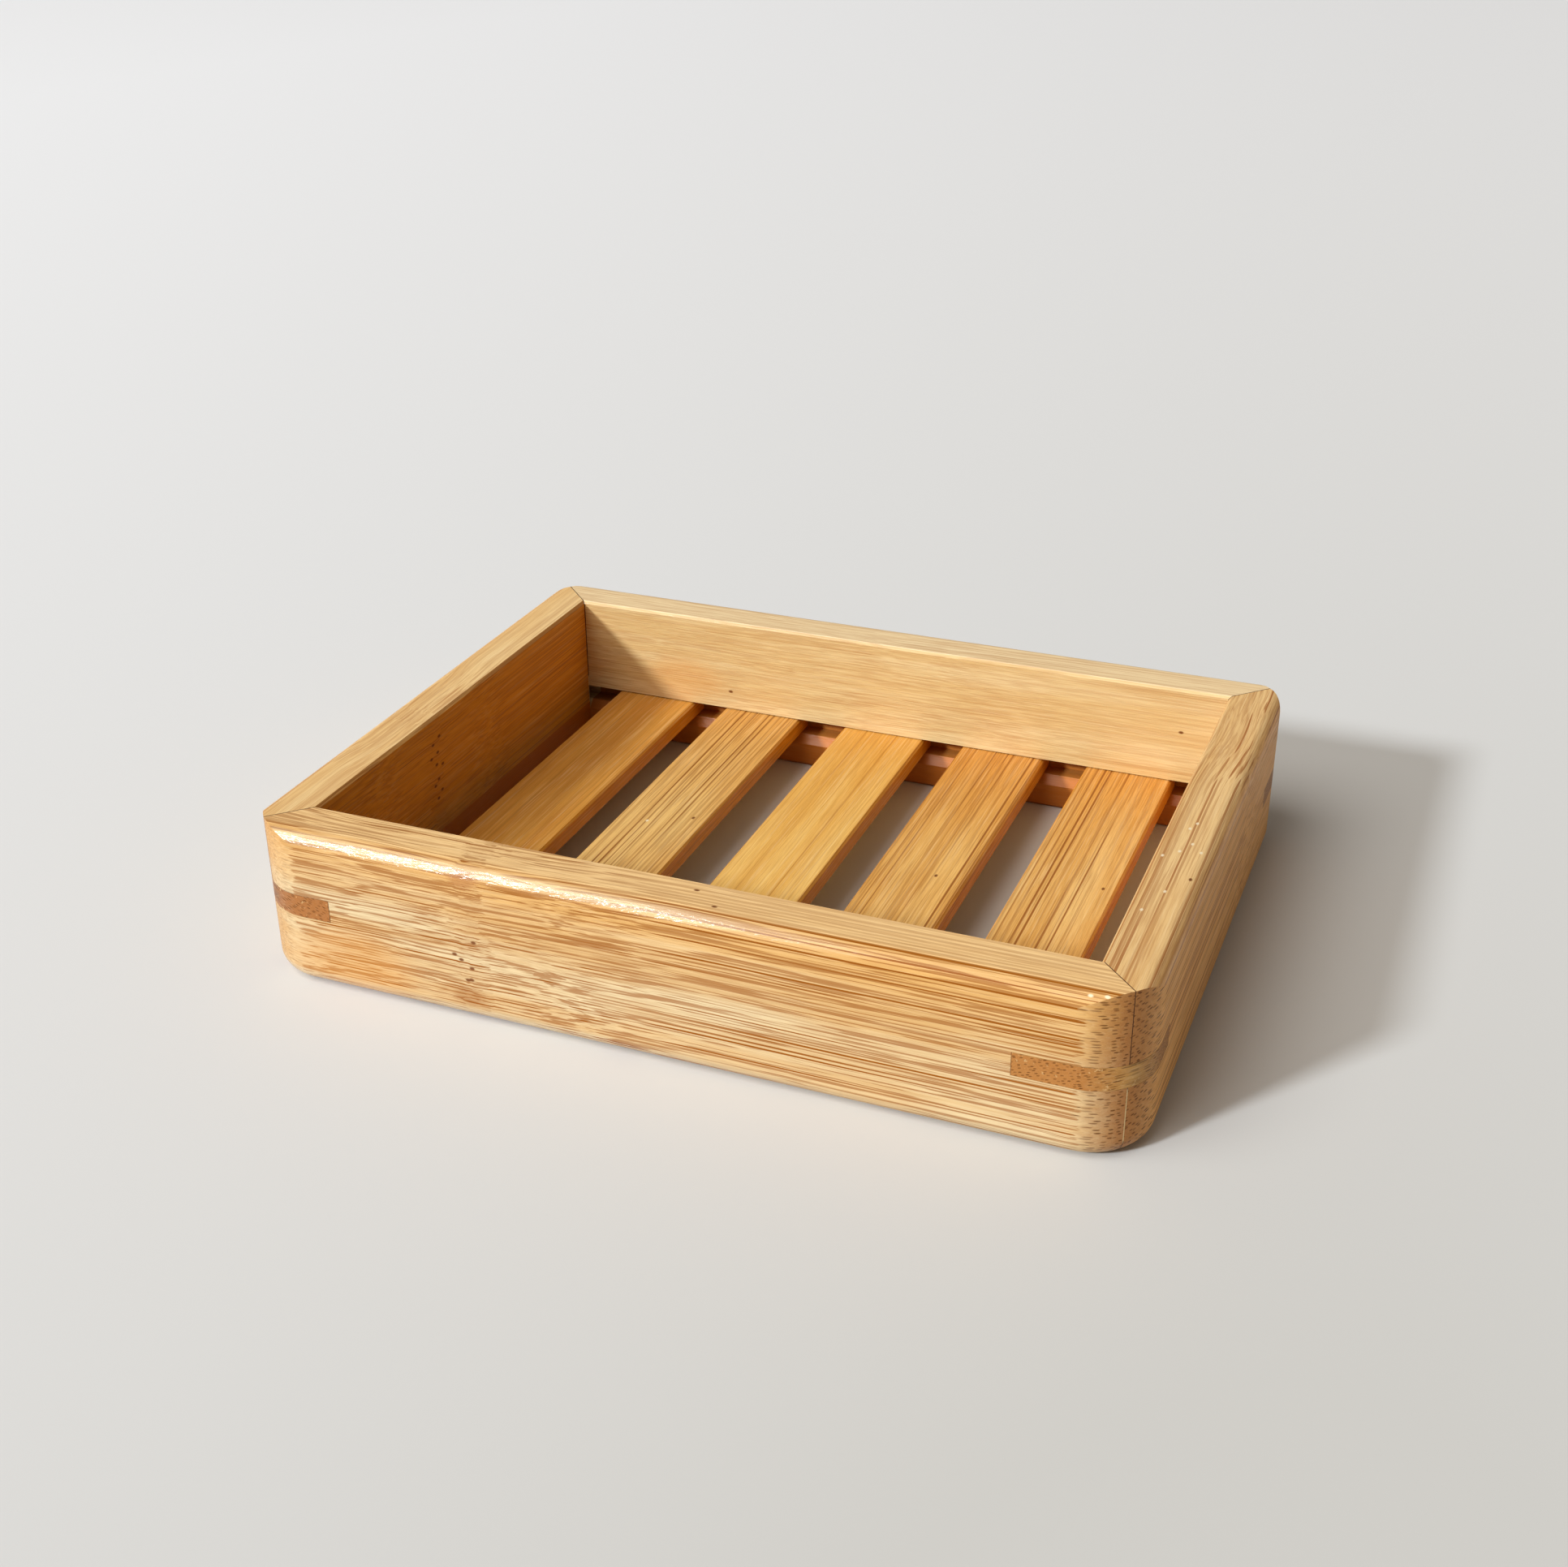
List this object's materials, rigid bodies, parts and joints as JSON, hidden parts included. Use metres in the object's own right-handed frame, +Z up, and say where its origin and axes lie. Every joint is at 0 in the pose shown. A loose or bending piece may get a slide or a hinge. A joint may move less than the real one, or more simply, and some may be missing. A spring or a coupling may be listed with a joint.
{
  "type": "soap dish",
  "caption": "Rectangular bamboo soap dish: a mitred frame with keyed, rounded corners round a slatted draining floor.",
  "frame": {"origin": "middle of the rectangle that the dish stands on, at table height", "axes": "+X along the long side to the right, -Y towards the front, +Z up"},
  "size_m": [0.115, 0.088, 0.022],
  "materials": {
    "rail_bamboo": "satin clear lacquer on pale golden bamboo",
    "key_bamboo": "satin clear lacquer on dark carbonised bamboo",
    "slat_bamboo": "satin clear lacquer on pale golden bamboo"
  },
  "bodies": {
    "root": {"front_rail": "rail_bamboo", "back_rail": "rail_bamboo", "left_rail": "rail_bamboo", "right_rail": "rail_bamboo", "key_front_left": "key_bamboo", "key_front_right": "key_bamboo", "key_back_left": "key_bamboo", "key_back_right": "key_bamboo", "slat_1": "slat_bamboo", "slat_2": "slat_bamboo", "slat_3": "slat_bamboo", "slat_4": "slat_bamboo", "slat_5": "slat_bamboo"}
  },
  "joints": []
}
